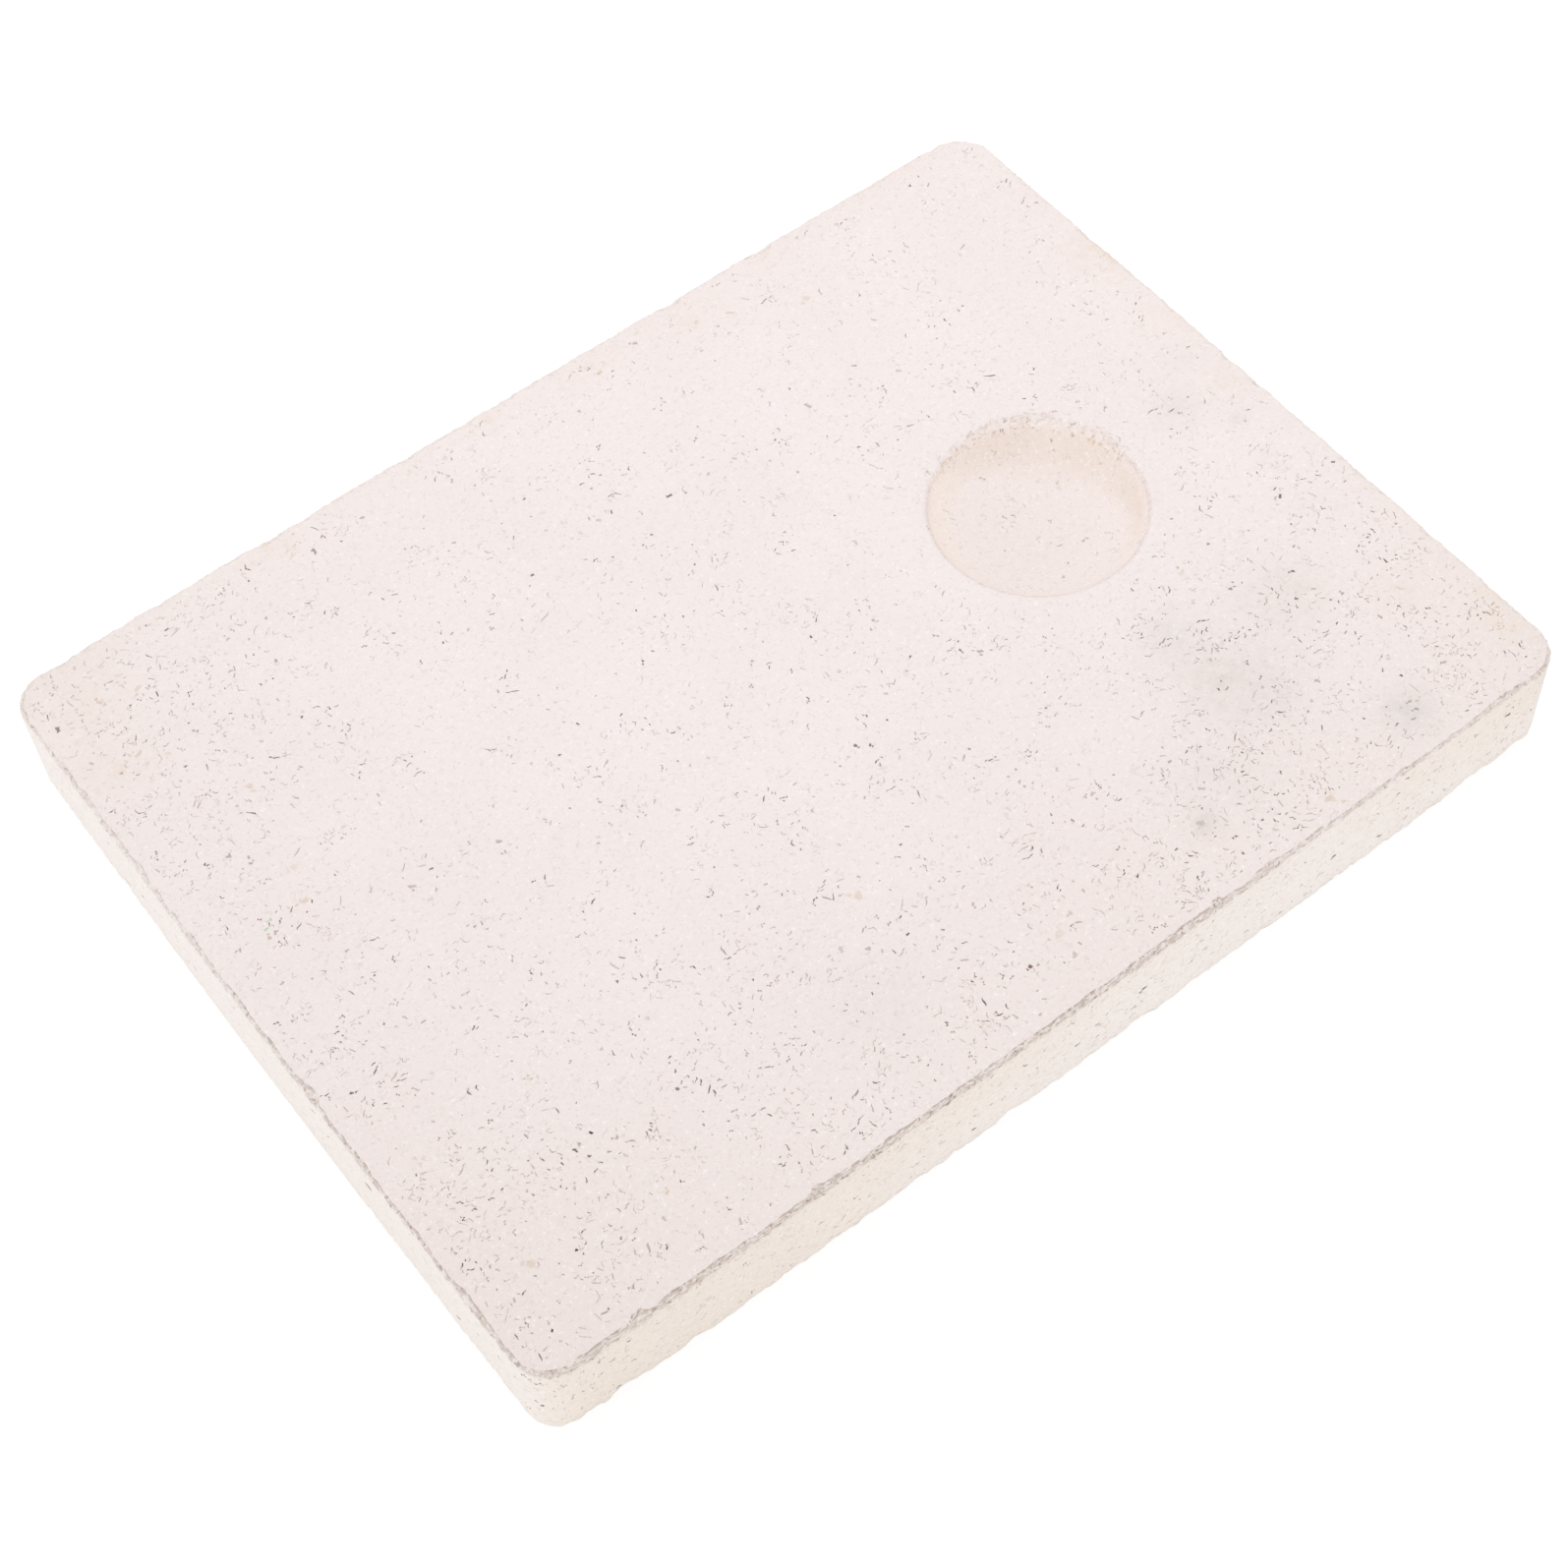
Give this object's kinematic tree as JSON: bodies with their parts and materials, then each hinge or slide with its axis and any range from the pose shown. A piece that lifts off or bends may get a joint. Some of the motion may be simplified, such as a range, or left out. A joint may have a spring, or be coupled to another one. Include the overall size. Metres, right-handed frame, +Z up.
{
  "type": "refractory soldering block",
  "caption": "Flat rectangular quartz refractory slab with rounded corners, worn edges and a shallow round melting bowl in its top, used as a bench block for soldering.",
  "frame": {"origin": "centre of the resting face, on the bench plane", "axes": "+X along the length towards the end with the melting dish, +Y across the width, +Z up out of the working face"},
  "size_m": [0.125, 0.095, 0.0125],
  "materials": {
    "quartz_refractory": "matte"
  },
  "bodies": {
    "root": {"soldering_block": "quartz_refractory"}
  },
  "joints": []
}
